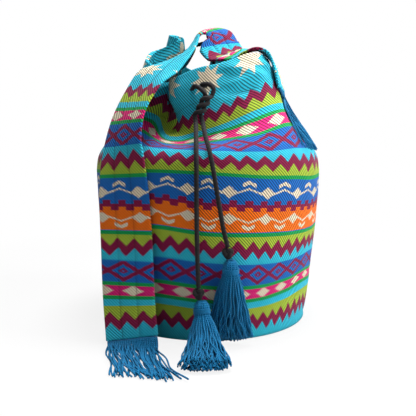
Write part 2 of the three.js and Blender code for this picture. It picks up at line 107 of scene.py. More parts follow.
def build_floor():
    """A white floor that keeps the bag's shadow: to the camera part glow near the bag, all glow far off."""
    size = FLOOR_SIZE
    corners = [(-size, -size), (size, -size), (size, size), (-size, size)]
    mesh = bpy.data.meshes.new("floor")
    mesh.from_pydata([(x, y, -FLOOR_DROP) for x, y in corners], [], [(0, 1, 2, 3)])
    floor = bpy.data.objects.new("floor", mesh)
    scene.collection.objects.link(floor)
    material, tree = new_material("floor_white")
    diffuse = node(tree, "ShaderNodeBsdfDiffuse")
    diffuse.inputs["Color"].default_value = (FLOOR_GREY, FLOOR_GREY, FLOOR_GREY, 1)
    glow = node(tree, "ShaderNodeEmission")
    glow.inputs["Color"].default_value = (1, 1, 1, 1)
    seen = node(tree, "ShaderNodeLightPath")
    place = node(tree, "ShaderNodeNewGeometry")
    away = node(tree, "ShaderNodeVectorMath", operation="LENGTH")
    tree.links.new(place.outputs["Position"], away.inputs[0])
    fade = node(tree, "ShaderNodeMapRange", interpolation_type="SMOOTHSTEP")
    fade.inputs["From Min"].default_value = FLOOR_FADE_FROM
    fade.inputs["From Max"].default_value = FLOOR_FADE_TO
    fade.inputs["To Min"].default_value = FLOOR_GLOW_NEAR
    tree.links.new(away.outputs["Value"], fade.inputs["Value"])
    share = node(tree, "ShaderNodeMath", operation="MULTIPLY")
    tree.links.new(seen.outputs["Is Camera Ray"], share.inputs[0])
    tree.links.new(fade.outputs["Result"], share.inputs[1])
    surface = mixed_shader(tree, share.outputs[0], diffuse, glow)
    output = node(tree, "ShaderNodeOutputMaterial")
    tree.links.new(surface.outputs[0], output.inputs["Surface"])
    mesh.materials.append(material)


def build_world():
    """A dim studio that the camera and mirror rays see as white."""
    world = bpy.data.worlds.new("studio")
    scene.world = world
    world.use_nodes = True
    tree = world.node_tree
    tree.nodes.clear()
    path = node(tree, "ShaderNodeLightPath")
    direct = node(tree, "ShaderNodeMath", operation="MAXIMUM")
    tree.links.new(path.outputs["Is Camera Ray"], direct.inputs[0])
    tree.links.new(path.outputs["Is Glossy Ray"], direct.inputs[1])
    white_share = node(tree, "ShaderNodeMath", operation="MAXIMUM")
    tree.links.new(direct.outputs[0], white_share.inputs[0])
    tree.links.new(path.outputs["Is Transmission Ray"], white_share.inputs[1])
    surface = mixed_shader(tree, white_share.outputs[0], background(tree, AMBIENT), background(tree, 1.0))
    output = node(tree, "ShaderNodeOutputWorld")
    tree.links.new(surface.outputs[0], output.inputs["Surface"])


def area_light(name, place, target, size, power):
    data = bpy.data.lights.new(name, "AREA")
    data.shape = "DISK"
    data.size = size
    data.energy = power
    light = bpy.data.objects.new(name, data)
    light.location = place
    way = np.array(target) - np.array(place)
    flat = math.hypot(way[0], way[1])
    light.rotation_euler = (math.atan2(flat, -way[2]), 0, math.atan2(way[1], way[0]) - math.pi / 2)
    scene.collection.objects.link(light)


build_floor()
build_world()
for name, row in LIGHTS.items():
    area_light(name, *row)


# The wall of the bag, as in the source

BELLY_RADIUS, BELLY_HEIGHT = 136, 178
BASE_HALF_WIDTH, BASE_HALF_DEPTH, BASE_THICKNESS, BASE_EDGE_INSET = 119, 125, 4, 1
WALL_THICKNESS, CLEARANCE = 2.4, 0.3
NECK_RADIUS, RIM_HEIGHT = 75, 317
SLUMPED_NECK_RADIUS, SLUMPED_RIM_HEIGHT = 75, 293
NECK_DEPTH_RATIO = 0.9
CREASES = [(-125, 0.8), (-80, 0.5), (-40, 1), (65, 0.55), (105, 0.6), (145, 0.8)]
CREASE_DEPTH, CREASE_HALF_WIDTH, CREASE_SQUEEZE = 32, 18, 0.85
BELLY_CLOTH, BASE_CLOTH, RIM_CLOTH = 32, -142, 183
BACK_RIM_RISE, SIDE_RIM_DIP, SADDLE_DIP = 34, 20, 40
EDGE_SWELLS = [(-148, 58, BACK_RIM_RISE), (68, 45, -SIDE_RIM_DIP), (-54, 56, -SADDLE_DIP)]
GATHER_FROM, GATHER_TO = 52, 140
BACK_SEAM_ANGLE, NOTCH_DEPTH, NOTCH_HALF_WIDTH = -170, 34, 14
HEM_EDGE_THICKNESS, HEM_DEPTH = 4.4, 45
CORD_BELOW_RIM, CORD_DIAMETER = 23, 5
CASING_COVER, CASING_CLEARANCE = 1.6, 0.7
EXIT_LEFT_ANGLE, EXIT_RIGHT_ANGLE, EXIT_BEND = -8.2, -2.4, 3
TAUT_SHOULDER = [
    (32, 1, 0), (48, 0.964, 0.111), (61.5, 0.866, 0.201), (85, 0.661, 0.345), (107, 0.446, 0.482),
    (136, 0.25, 0.676), (160, 0.125, 0.842), (183, 0, 1), (217, -0.2, 1.23),
]
SLUMPED_SHOULDER = [
    (32, 1, 0), (48, 0.959, 0.122), (61.5, 0.836, 0.2), (85, 0.475, 0.256), (98, 0.295, 0.304),
    (107, 0.23, 0.365), (136, 0.18, 0.609), (160, 0.098, 0.809), (183, 0, 1), (217, -0.18, 1.28),
]
BODY_SIDE = [(-142, 0), (-130, 0.2), (-60, 0.64), (0, 0.94), (32, 1)]


def mix(a, b, share):
    return a + (b - a) * share


def smoothstep(start, end, value):
    share = np.clip((value - start) / (end - start), 0, 1)
    return share * share * (3 - 2 * share)


def hump(offset, half_width):
    share = np.minimum(1, np.abs(offset) / half_width)
    return 0.5 + 0.5 * np.cos(np.pi * share)


def curve_through(rows, station):
    """A smooth curve through rows of (station, value, ...), one array for each value."""
    rows = np.array(rows, float)
    last = len(rows) - 1
    station = np.asarray(station, float)
    i = np.clip(np.searchsorted(rows[:, 0], station, side="right") - 1, 0, last - 1)
    before = np.maximum(i - 1, 0)
    after = np.minimum(i + 2, last)
    span = rows[i + 1, 0] - rows[i, 0]
    t = (station - rows[i, 0]) / span
    out = []
    for k in range(1, rows.shape[1]):
        value, to = rows[i, k], rows[i + 1, k]
        slope_from = (to - rows[before, k]) / (rows[i + 1, 0] - rows[before, 0])
        slope_to = (rows[after, k] - value) / (rows[after, 0] - rows[i, 0])
        rise = to - value
        bend = (1 - t) * (slope_from * span - rise) - t * (slope_to * span - rise)
        out.append(value + t * rise + t * (1 - t) * bend)
    return out


def wrapped(angle):
    return (np.asarray(angle, float) + 180) % 360 - 180


def slump(angle):
    return smoothstep(-52, -14, angle) * (1 - smoothstep(-4, 46, angle))


def edge_cloth(angle):
    total = RIM_CLOTH
    for middle, half_width, rise in EDGE_SWELLS:
        total = total + rise * hump(wrapped(np.asarray(angle, float) - middle), half_width)
    return total


def rim_cloth(angle):
    from_seam = np.abs(wrapped(np.asarray(angle, float) - BACK_SEAM_ANGLE))
    return edge_cloth(angle) - NOTCH_DEPTH * (1 - smoothstep(0.55, 1, from_seam / NOTCH_HALF_WIDTH))


def casing_cloth(angle):
    return edge_cloth(angle) - CORD_BELOW_RIM


def squeezed(angle):
    total = 0
    for middle, _ in CREASES:
        share = np.clip((angle - middle) / CREASE_HALF_WIDTH, -1, 1)
        total = total + CREASE_HALF_WIDTH * (share + 1 + np.sin(np.pi * share) / np.pi) / 2
    return total * CREASE_SQUEEZE


def low_wall(cloth):
    """Half width, half depth and height of the wall from the base to the belly."""
    (share,) = curve_through(BODY_SIDE, np.minimum(cloth, BELLY_CLOTH))
    up = (cloth - BASE_CLOTH) / (BELLY_CLOTH - BASE_CLOTH)
    wide = mix(BASE_HALF_WIDTH, BELLY_RADIUS, share)
    deep = mix(BASE_HALF_DEPTH, BELLY_RADIUS, share)
    return wide, deep, mix(BASE_THICKNESS + CLEARANCE, BELLY_HEIGHT, up)


def high_wall(angle, cloth, gather):
    """Half width, half depth and height of the wall from the belly to the rim."""
    above = np.maximum(cloth, BELLY_CLOTH)
    taut_out, taut_up = curve_through(TAUT_SHOULDER, above)
    sunk_out, sunk_up = curve_through(SLUMPED_SHOULDER, above)
    sunk = slump(angle)
    taut = mix(NECK_RADIUS, BELLY_RADIUS, taut_out)
    slumped = mix(SLUMPED_NECK_RADIUS, BELLY_RADIUS, sunk_out)
    wide = mix(taut, slumped, sunk)
    for middle, depth in CREASES:
        wide = wide - gather * CREASE_DEPTH * depth * hump(angle - middle, CREASE_HALF_WIDTH)
    taut_height = mix(BELLY_HEIGHT, RIM_HEIGHT, taut_up)
    slumped_height = mix(BELLY_HEIGHT, SLUMPED_RIM_HEIGHT, sunk_up)
    back = smoothstep(90, 150, np.abs(angle))
    deep = wide * mix(1, NECK_DEPTH_RATIO, gather * back)
    return wide, deep, mix(taut_height, slumped_height, sunk)


def wall_point(angle, cloth):
    angle, cloth = np.broadcast_arrays(wrapped(angle), np.asarray(cloth, float))
    gather = smoothstep(GATHER_FROM, GATHER_TO, cloth)
    low = cloth <= BELLY_CLOTH
    both_parts = zip(low_wall(cloth), high_wall(angle, cloth, gather))
    wide, deep, height = [np.where(low, below, above) for below, above in both_parts]
    lobe_share = 1 - CREASE_SQUEEZE * CREASE_HALF_WIDTH * len(CREASES) / 360
    gathered = (angle - squeezed(angle) + squeezed(0)) / lobe_share
    turn = np.radians(mix(angle, gathered, gather))
    return np.stack([wide * np.sin(turn), -deep * np.cos(turn), height], -1)


def unit(vectors):
    return vectors / np.linalg.norm(vectors, axis=-1, keepdims=True)


def wall_normal(angle, cloth):
    step = 0.5
    around = wall_point(angle + step, cloth) - wall_point(angle - step, cloth)
    up = wall_point(angle, cloth + step) - wall_point(angle, cloth - step)
    return unit(np.cross(around, up))


def wall_at(angle, cloth, outward):
    angle, cloth = np.broadcast_arrays(np.asarray(angle, float), np.asarray(cloth, float))
    outward = np.asarray(outward, float)[..., None]
    return wall_point(angle, cloth) + wall_normal(angle, cloth) * outward


def wall_thickness(angle, cloth):
    below = rim_cloth(angle) - cloth
    doubled = mix(WALL_THICKNESS, HEM_EDGE_THICKNESS, 1 - smoothstep(0.6, 1, below / HEM_DEPTH))
    casing = CORD_DIAMETER + 2 * (CASING_CLEARANCE + CASING_COVER)
    return mix(doubled, casing, hump(cloth - casing_cloth(angle), HEM_DEPTH - CORD_BELOW_RIM))


# Curves and meshes

def vectors(rows):
    return [np.array(row, float) for row in rows]


class Curve:
    """A centripetal Catmull-Rom curve through points, read by share of its spans or of its length."""

    def __init__(self, points):
        self.points = np.array(points, float)
        self.fine = np.linspace(0, 1, 40 * len(self.points))
        steps = np.linalg.norm(np.diff(self.at(self.fine), axis=0), axis=1)
        self.travel = np.concatenate([[0], np.cumsum(steps)])
        self.length = self.travel[-1]

    def at(self, share):
        p = self.points
        spans = len(p) - 1
        q = np.vstack([2 * p[0] - p[1], p, 2 * p[-1] - p[-2]])
        place = np.clip(np.asarray(share, float), 0, 1) * spans
        i = np.minimum(place.astype(int), spans - 1)
        w = (place - i)[..., None]
        p0, p1, p2, p3 = q[i], q[i + 1], q[i + 2], q[i + 3]

        def gap(a, b):
            return np.maximum(((a - b) ** 2).sum(-1), 1e-12)[..., None] ** 0.25

        d0, d1, d2 = gap(p0, p1), gap(p1, p2), gap(p2, p3)
        t1 = ((p1 - p0) / d0 - (p2 - p0) / (d0 + d1) + (p2 - p1) / d1) * d1
        t2 = ((p2 - p1) / d1 - (p3 - p1) / (d1 + d2) + (p3 - p2) / d2) * d1
        c2 = -3 * p1 + 3 * p2 - 2 * t1 - t2
        c3 = 2 * p1 - 2 * p2 + t1 + t2
        return p1 + t1 * w + c2 * w ** 2 + c3 * w ** 3

    def share_of(self, length_share):
        return np.interp(np.asarray(length_share) * self.length, self.travel, self.fine)

    def tangent(self, share):
        d = 1e-4
        share = np.asarray(share, float)
        return unit(self.at(np.minimum(share + d, 1)) - self.at(np.maximum(share - d, 0)))

    def evenly(self, count):
        """Points at even steps of length."""
        return self.at(self.share_of(np.linspace(0, 1, count)))


def frames_along(points):
    """Two normals that don't twist, along a row of points."""
    along = unit(np.gradient(points, axis=0))
    normal = np.array([0.3, 0.5, 0.81])
    normals = []
    for t in along:
        normal = unit(normal - t * normal.dot(t))
        normals.append(normal)
    normals = np.array(normals)
    return normals, np.cross(along, normals)


def ring_faces(rings, sides, closed=False):
    """Quads between rings of equally many points; closed joins the last ring to the first."""
    faces = []
    for i in range(rings if closed else rings - 1):
        here, there = i * sides, (i + 1) % rings * sides
        for j in range(sides):
            k = (j + 1) % sides
            faces.append((here + j, here + k, there + k, there + j))
    return faces


def ring_uvs(across, along):
    """The uv corners of those quads, from arrays with one more column than the rings have sides."""
    corners = []
    for i in range(len(across) - 1):
        for j in range(across.shape[1] - 1):
            places = ((i, j), (i, j + 1), (i + 1, j + 1), (i + 1, j))
            corners.append([(across[place], along[place]) for place in places])
    return corners


class Builder:
    """Collects points in millimetres, faces, uv pairs for each face corner and material numbers."""

    def __init__(self):
        self.points = []
        self.faces = []
        self.uvs = []
        self.slots = []
        self.count = 0

    def add(self, points, faces, uvs=None, slots=None):
        points = np.asarray(points, float).reshape(-1, 3)
        self.points.append(points)
        for n, face in enumerate(faces):
            self.faces.append(tuple(int(k) + self.count for k in face))
            self.uvs.append(uvs[n] if uvs else [(0, 0)] * len(face))
            self.slots.append(slots[n] if slots else 0)
        self.count += len(points)

    def tube(self, centres, radii, sides):
        """A capped tube; radii is one number or one for each point of each ring."""
        centres = np.asarray(centres, float)
        count = len(centres)
        side, over = frames_along(centres)
        turn = np.linspace(0, 2 * np.pi, sides, endpoint=False)[None, :, None]
        reach = np.broadcast_to(radii, (count, sides))[..., None]
        rings = centres[:, None] + reach * (side[:, None] * np.cos(turn) + over[:, None] * np.sin(turn))
        steps = np.linalg.norm(np.diff(centres, axis=0), axis=1)
        travel = np.concatenate([[0], np.cumsum(steps)])
        across, along = np.meshgrid(np.linspace(0, 1, sides + 1), travel)
        caps = [tuple(range(sides - 1, -1, -1)), tuple(range((count - 1) * sides, count * sides))]
        cap_uvs = [[(0, travel[0])] * sides, [(0, travel[-1])] * sides]
        self.add(rings, ring_faces(count, sides) + caps, ring_uvs(across, along) + cap_uvs)

    def make(self, name, materials):
        mesh = bpy.data.meshes.new(name)
        points = np.concatenate(self.points) * MM
        mesh.from_pydata(points.tolist(), [], self.faces)
        layer = mesh.uv_layers.new(name="cloth")
        flat = np.array([pair for face in self.uvs for pair in face], np.float32)
        layer.data.foreach_set("uv", flat.ravel())
        for material in materials:
            mesh.materials.append(material)
        mesh.polygons.foreach_set("material_index", np.array(self.slots, np.int32))
        mesh.polygons.foreach_set("use_smooth", np.full(len(self.faces), True))
        mesh.update()
        piece = bpy.data.objects.new(name, mesh)
        scene.collection.objects.link(piece)
        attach(piece, "root")
        return piece


# Materials

def linear(red, green, blue):
    def one(value):
        value /= 255
        return value / 12.92 if value <= 0.04045 else ((value + 0.055) / 1.055) ** 2.4
    return (one(red), one(green), one(blue), 1)


TURQUOISE = linear(46, 196, 222)
LIME = linear(168, 196, 58)
MAROON = linear(138, 16, 68)
MAGENTA = linear(230, 28, 122)
GREEN = linear(12, 166, 80)
BLUE = linear(18, 106, 192)
ORANGE = linear(255, 118, 14)
CREAM = linear(234, 222, 194)
DARK_WEFT = linear(22, 22, 26)


class Value:
    """A number in a node tree, with the arithmetic that the pattern needs."""

    def __init__(self, tree, socket):
        self.tree = tree
        self.socket = socket

    def apply(self, operation, *others):
        made = node(self.tree, "ShaderNodeMath", operation=operation)
        self.tree.links.new(self.socket, made.inputs[0])
        for i, other in enumerate(others, 1):
            if isinstance(other, Value):
                self.tree.links.new(other.socket, made.inputs[i])
            else:
                made.inputs[i].default_value = other
        return Value(self.tree, made.outputs[0])

    __add__ = partialmethod(apply, "ADD")
    __sub__ = partialmethod(apply, "SUBTRACT")
    __mul__ = partialmethod(apply, "MULTIPLY")
    __truediv__ = partialmethod(apply, "DIVIDE")
    __lt__ = partialmethod(apply, "LESS_THAN")
    __gt__ = partialmethod(apply, "GREATER_THAN")
    size = partialmethod(apply, "ABSOLUTE")
    sine = partialmethod(apply, "SINE")
    # Up from 0 to a half period and down again, over and over
    bounce = partialmethod(apply, "PINGPONG")

    def stepped(self, step):
        return (self / step).apply("FLOOR") * step


def both(a, b):
    return a.apply("MINIMUM", b)


def either(a, b):
    return a.apply("MAXIMUM", b)


def paint(tree, under, over, mask, blend="MIX"):
    """over on under where mask is 1; colours are sockets or tuples."""
    made = node(tree, "ShaderNodeMix", data_type="RGBA", blend_type=blend)
    if isinstance(mask, Value):
        tree.links.new(mask.socket, made.inputs[0])
    else:
        made.inputs[0].default_value = mask
    for colour, slot in ((under, made.inputs[6]), (over, made.inputs[7])):
        if isinstance(colour, tuple):
            slot.default_value = colour
        else:
            tree.links.new(colour, slot)
    return made.outputs[2]


# The banded pattern. u runs across the motifs and v along the bands, both in millimetres. The bands are the
# same on both sides of v = 0, but for blue and orange next to it, and fold back at PATTERN_FOLD.
PATTERN_FOLD = 200
WEAVE_STEP = 1.0
BANDS = [
    (28, GREEN), (32.3, LIME), (61, BLUE), (85.5, GREEN), (89.5, MAGENTA), (100.5, GREEN), (104.7, TURQUOISE),
    (111, LIME), (137.5, TURQUOISE),
]
ZIGZAG_PERIOD, ZIGZAG_RISE, ZIGZAG_WIDTH = 18.2, 9.4, 11.4
# Each zigzag: its band's start and end, where its first edge starts, and where it turns above and below v = 0
ZIGZAGS = [(32.3, 61, 36.2, -4.7, -4.7), (111, 137.5, 117, -8.5, 1.5)]


def zigzag(tree, colour, u, v, m, row):
    start, end, first, turn_above, turn_below = row
    place = u - turn_below - (v > 0) * (turn_above - turn_below)
    edge = place.bounce(ZIGZAG_PERIOD / 2) * (2 * ZIGZAG_RISE / ZIGZAG_PERIOD) + first
    inside = both(m > start, m < end + WEAVE_STEP / 2)
    colour = paint(tree, colour, MAROON, both(inside, m > edge))
    return paint(tree, colour, TURQUOISE, both(inside, m > edge + ZIGZAG_WIDTH))


# Rows of motifs: the middle's height and the period
LINKED_MIDDLE, LINKED_PERIOD = 73.2, 34
CREAM_MIDDLE, CREAM_PERIOD = 95, 33.5
CHEVRON_PERIOD, MEANDER_PERIOD = 42.7, 17.5
STAR_MIDDLE, STAR_PERIOD = 169, 60
DIAGONAL = 0.7071


def linked_diamonds(tree, colour, u, v, m):
    """Maroon diamonds that cross at their corners, each round a small one, on the upper blue band."""
    period, rise, line = LINKED_PERIOD, 9.6, 2.4
    from_middle = (u + 8 + (v > 0) * -7).bounce(period / 2)
    height = (m - LINKED_MIDDLE).size()
    outline = (height + from_middle * (2 * rise / period) - rise).size() < line
    small = from_middle / 5.4 + height / 2.9
    ring = both(small < 1.15, small > 0.3)
    return paint(tree, colour, MAROON, both(either(outline, ring), both(m > 62, m < 85)))


def cream_diamonds(tree, colour, u, v, m):
    half_wide, half_high = 12, 5.7
    from_middle = (u - 4 + (v > 0) * -9).bounce(CREAM_PERIOD / 2)
    inside = (from_middle / half_wide + (m - CREAM_MIDDLE).size() / half_high) < 1
    return paint(tree, colour, CREAM, both(inside, both(m > 89.5, m < 100.5)))


def line_and_chevrons(tree, colour, u, m):
    """A cream line from diamond to diamond, with a chevron over each of its peaks, on blue and on orange."""
    half = CHEVRON_PERIOD / 2
    from_peak = u.bounce(half)
    line = (m + from_peak * 0.35 - 17.4).size() < 0.95
    diamond = ((from_peak * -1 + half) / 8.8 + (m - 13.6).size() / 6.3) < 1
    chevron = both((m + from_peak * 0.45 - 24).size() < 1.9, from_peak < 7.6)
    motif = either(either(line, diamond), chevron)
    return paint(tree, colour, CREAM, both(motif, both(m > 6, m < 27.5)))


def meander(tree, colour, u, v):
    """A maroon line through the middle that steps up and down."""
    height = 3.7
    step = ((u - 8).bounce(MEANDER_PERIOD / 2) < 4.4) * height - height / 2
    return paint(tree, colour, MAROON, (v - step).size() < height)


def stars(tree, colour, u, m):
    """Eight-pointed cream stars on the turquoise field."""
    half_wide, half_high, slimness, core = 23, 19, 2.6, 0.7
    across = (u + 1).bounce(STAR_PERIOD / 2) / half_wide
    up = (m - STAR_MIDDLE).size() / half_high
    along = (across + up) * DIAGONAL
    off = (across - up).size() * DIAGONAL
    upright = either((across + up * slimness) < 1, (across * slimness + up) < 1)
    star = either(either(upright, (along + off * slimness) < 1), (across + up) < core)
    return paint(tree, colour, CREAM, both(star, m > 140))


def band_colour(tree, u, v):
    u = u.stepped(WEAVE_STEP)
    v = v.stepped(WEAVE_STEP)
    m = v.bounce(PATTERN_FOLD)
    colour = paint(tree, BLUE, ORANGE, both(v < 0, m < BANDS[0][0]))
    for start, shade in BANDS:
        colour = paint(tree, colour, shade, m > start)
    for row in ZIGZAGS:
        colour = zigzag(tree, colour, u, v, m, row)
    colour = linked_diamonds(tree, colour, u, v, m)
    colour = cream_diamonds(tree, colour, u, v, m)
    colour = line_and_chevrons(tree, colour, u, m)
    colour = meander(tree, colour, u, v)
    return stars(tree, colour, u, m)


FABRIC_SPECULAR, FABRIC_SHEEN_ROUGHNESS, BUMP_STRENGTH = 0.18, 0.5, 0.8


def fabric_shader(tree, colour, bump_height, depth, roughness, sheen):
    shader = node(tree, "ShaderNodeBsdfPrincipled")
    tree.links.new(colour, shader.inputs["Base Color"])
    shader.inputs["Roughness"].default_value = roughness
    shader.inputs["Specular IOR Level"].default_value = FABRIC_SPECULAR
    shader.inputs["Sheen Weight"].default_value = sheen
    shader.inputs["Sheen Roughness"].default_value = FABRIC_SHEEN_ROUGHNESS
    bump = node(tree, "ShaderNodeBump")
    bump.inputs["Strength"].default_value = BUMP_STRENGTH
    bump.inputs["Distance"].default_value = depth
    tree.links.new(bump_height.socket, bump.inputs["Height"])
    tree.links.new(bump.outputs[0], shader.inputs["Normal"])
    output = node(tree, "ShaderNodeOutputMaterial")
    tree.links.new(shader.outputs[0], output.inputs["Surface"])


def uv_values(tree):
    reader = node(tree, "ShaderNodeUVMap", uv_map="cloth")
    split = node(tree, "ShaderNodeSeparateXYZ")
    tree.links.new(reader.outputs[0], split.inputs[0])
    return reader, Value(tree, split.outputs[0]), Value(tree, split.outputs[1])


def noise_value(tree, vector, scale, detail):
    made = node(tree, "ShaderNodeTexNoise")
    made.inputs["Scale"].default_value = scale
    made.inputs["Detail"].default_value = detail
    tree.links.new(vector, made.inputs["Vector"])
    return Value(tree, made.outputs["Fac"])


def darkened(tree, colour, amount):
    """The colour times amount, a Value."""
    grey = node(tree, "ShaderNodeCombineColor")
    for slot in grey.inputs:
        tree.links.new(amount.socket, slot)
    return paint(tree, colour, grey.outputs[0], 1.0, "MULTIPLY")


TWILL_SPACING = 2.5
TWILL_SHADE = 0.74
TWILL_GROOVE = 0.45
STITCH_SPACING = 4.4


def woven(name, reverse=False, seams=(), sewn=False):
    """Banded twill. The reverse shows mostly dark weft, seams are places in u of rows of stitches along the
    cloth, and sewn cloth carries one row of stitches across it."""
    material, tree = new_material(name)
    reader, u, v = uv_values(tree)
    colour = band_colour(tree, u, v)
    twill = ((u + v) * DIAGONAL).bounce(TWILL_SPACING / 2) / (TWILL_SPACING / 2)
    fleck = noise_value(tree, reader.outputs[0], 0.55, 3.0)
    groove = twill < TWILL_GROOVE
    if reverse:
        colour = paint(tree, DARK_WEFT, colour, (groove * 0.5 + 0.08) * (fleck + 0.3))
    shade = (groove * -TWILL_SHADE + 1) * (fleck * 0.3 + 0.85)
    height = twill.apply("MINIMUM", 0.6) + fleck * 0.25
    for place in seams:
        near = (u - place).size()
        stitch = both(near < 0.5, v.bounce(STITCH_SPACING / 2) > 0.5)
        shade = shade * ((near < 0.8) * -0.22 + 1) * (stitch * -0.35 + 1)
        height = height - (near < 1.0) * 0.9
    if sewn:
        stitch = u.bounce(STITCH_SPACING / 2) > 0.6
        shade = shade * (stitch * -0.25 + 1)
        height = height - stitch * 0.9
    fabric_shader(tree, darkened(tree, colour, shade), height, 0.0003, 0.88, 0.06)
    return material


def plain_cloth(name, colour):
    material, tree = new_material(name)
    reader = node(tree, "ShaderNodeTexCoord")
    split = node(tree, "ShaderNodeSeparateXYZ")
    tree.links.new(reader.outputs["Object"], split.inputs[0])
    x, y = Value(tree, split.outputs[0]), Value(tree, split.outputs[1])
    weave = ((x * 1800).sine() * (y * 1800).sine()) * 0.5 + 0.5
    fleck = noise_value(tree, reader.outputs["Object"], 260, 3.0)
    shade = (weave * 0.25 + 0.8) * (fleck * 0.5 + 0.75)
    fabric_shader(tree, darkened(tree, colour, shade), weave + fleck * 0.4, 0.0005, 0.92, 0.1)
    return material


def yarn(name, colour):
    """Twisted yarn: a spiral of plies along each strand, with a little colour change from place to place."""
    material, tree = new_material(name)
    _, u, v = uv_values(tree)
    place = node(tree, "ShaderNodeTexCoord")
    ply = ((u * 2 + v * 0.45) * math.pi * 2).sine() * 0.5 + 0.5
    fuzz = noise_value(tree, place.outputs["Object"], 420, 3.0)
    patch = noise_value(tree, place.outputs["Object"], 90, 1.0)
    shade = (ply * 0.4 + 0.72) * (fuzz * 0.4 + 0.8) * (patch * 0.5 + 0.75)
    fabric_shader(tree, darkened(tree, colour, shade), ply + fuzz * 0.5, 0.0004, 0.85, 0.06)
    return material


def braid(name, colour):
    material, tree = new_material(name)
    _, u, v = uv_values(tree)
    place = node(tree, "ShaderNodeTexCoord")
    fuzz = noise_value(tree, place.outputs["Object"], 700, 3.0)
    strand = ((u * 8 + v * 0.9) * math.pi * 2).sine() * 0.5 + 0.5
    shade = (strand * 0.9 + 0.5) * (fuzz * 1.2 + 0.4)
    fabric_shader(tree, darkened(tree, colour, shade), strand * 0.4 + fuzz, 0.0003, 0.8, 0.04)
    return material


STRAP_WIDTH, STRAP_THICKNESS, STRAP_CURL = 57, 3.6, 200
STRAP_PHASE = 132.5
STRAP_SEAM_PLACES = (STRAP_PHASE - STRAP_WIDTH / 6, STRAP_PHASE + STRAP_WIDTH / 6)
cloth_front = woven("woven_front")
cloth_reverse = woven("woven_reverse", reverse=True)
cloth_hem = woven("woven_hem", sewn=True)
strap_front = woven("strap_front", seams=STRAP_SEAM_PLACES)
strap_join = woven("strap_join", seams=STRAP_SEAM_PLACES, sewn=True)
# The base panel is a real part, but its near-black colour is painted shade: its edge stands in for the dark
# shadow line along the bag's lower edge
base_painted_shade = plain_cloth("base_painted_shade", linear(40, 44, 50))
yarn_blue = yarn("yarn_blue", linear(4, 106, 154))
cord_black = braid("cord_black", linear(30, 28, 30))


# Drawcord: the run in the hem, the half knot and two tails

cord_radius = CORD_DIAMETER / 2


def casing_point(angle):
    return wall_at(angle, casing_cloth(angle), -(cord_radius + CASING_CLEARANCE + CASING_COVER))


def exit_point(angle):
    return wall_at(angle, casing_cloth(angle), cord_radius)


def hem_points(start, end):
    count = round(abs(end - start) / 5)
    return [casing_point(mix(start, end, i / count)) for i in range(count + 1)]


BARE_CORD = [
    (-29, 52, 330), (-19, 48, 336), (-9, 39, 337.5), (-1, 31, 337.5), (6, 31, 336.5), (9, 41, 332),
    (8, 54, 324),
]
drawcord_points = np.array(
    [exit_point(EXIT_LEFT_ANGLE)]
    + hem_points(EXIT_LEFT_ANGLE - EXIT_BEND, BACK_SEAM_ANGLE + NOTCH_HALF_WIDTH)
    + vectors(BARE_CORD)
    + hem_points(BACK_SEAM_ANGLE + 360 - NOTCH_HALF_WIDTH - 2, EXIT_RIGHT_ANGLE + EXIT_BEND)
    + [exit_point(EXIT_RIGHT_ANGLE)])

KNOT_TOP, KNOT_BOTTOM, KNOT_TURNS = np.array([0, -94, 259.5]), np.array([-10.5, -95.5, 238]), 1.5
KNOT_STEPS = 9
TO_KNOT_FROM_RIGHT = [(1, -89, 271.5), (6, -92.5, 266.5)]
TO_KNOT_FROM_LEFT = [(-10, -89.5, 268)]
TAIL_LEFT = [
    (-13, -99.5, 231), (-12.3, -118, 217), (-11.8, -136.5, 198), (-11.6, -141.5, 180), (-11.5, -143, 150),
    (-11.2, -145, 120), (-10.5, -147.5, 90), (-9.5, -150, 63.5),
]
TAIL_RIGHT = [
    (-5.8, -99.5, 231), (-3, -118, 217), (2, -136.5, 198), (5.5, -141.5, 180), (10.5, -142, 150),
    (15.5, -142.5, 122), (20, -143, 103.5),
]


def knot_points(start):
    axis = unit(KNOT_BOTTOM - KNOT_TOP)
    front = unit(np.array([0, -1, 0]) + axis * axis[1])
    side = np.cross(axis, front)
    reach = cord_radius + 4 * CLEARANCE
    out = []
    for i in range(KNOT_STEPS + 1):
        turn = start + 2 * math.pi * KNOT_TURNS * i / KNOT_STEPS
        middle = mix(KNOT_TOP, KNOT_BOTTOM, i / KNOT_STEPS)
        out.append(middle + front * reach * math.cos(turn) + side * reach * math.sin(turn))
    return out


def past_exit(inside, outside, distance):
    return outside + unit(outside - inside) * distance


def tail_curve(inside, outside, to_knot, start, hanging):
    exits = [past_exit(inside, outside, CLEARANCE), past_exit(inside, outside, 0.7 * CORD_DIAMETER)]
    return Curve(exits + vectors(to_knot) + knot_points(start) + vectors(hanging))


BRAID_PITCH = 10


def braided(name, curve, step, sides):
    """A round braid: strands each way that pass over and under each other."""
    count = int(curve.length / step)
    centres = curve.evenly(count + 1)
    travel = np.linspace(0, curve.length, count + 1)[:, None]
    turn = np.linspace(0, 2 * np.pi, sides, endpoint=False)[None]
    pitch = 4 * np.pi / BRAID_PITCH
    one = 2 * turn + travel * pitch
    two = 2 * turn - travel * pitch
    over = np.abs(np.cos(one)) * (0.5 + 0.5 * np.cos(two))
    under = np.abs(np.cos(two)) * (0.5 - 0.5 * np.cos(one))
    builder = Builder()
    builder.tube(centres, cord_radius * (0.8 + 0.28 * np.maximum(over, under)), sides)
    piece = builder.make(name, [cord_black])
    return piece, centres[::3]


run_curve = Curve(drawcord_points)
run, run_path = braided("drawcord_run_braid", run_curve, 1.2, 18)
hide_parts("drawcord_run")
tails = {}
for side, inside, outside, to_knot, start, hanging in (
    ("left", drawcord_points[-2], drawcord_points[-1], TO_KNOT_FROM_RIGHT, -math.pi / 2, TAIL_LEFT),
    ("right", drawcord_points[1], drawcord_points[0], TO_KNOT_FROM_LEFT, math.pi / 2, TAIL_RIGHT),
):
    curve = tail_curve(inside, outside, to_knot, start, hanging)
    piece, path = braided(f"drawcord_tail_{side}_braid", curve, 0.9, 24)
    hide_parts(f"drawcord_tail_{side}")
    tails[side] = (piece, path, curve, np.array(hanging[-1], float))


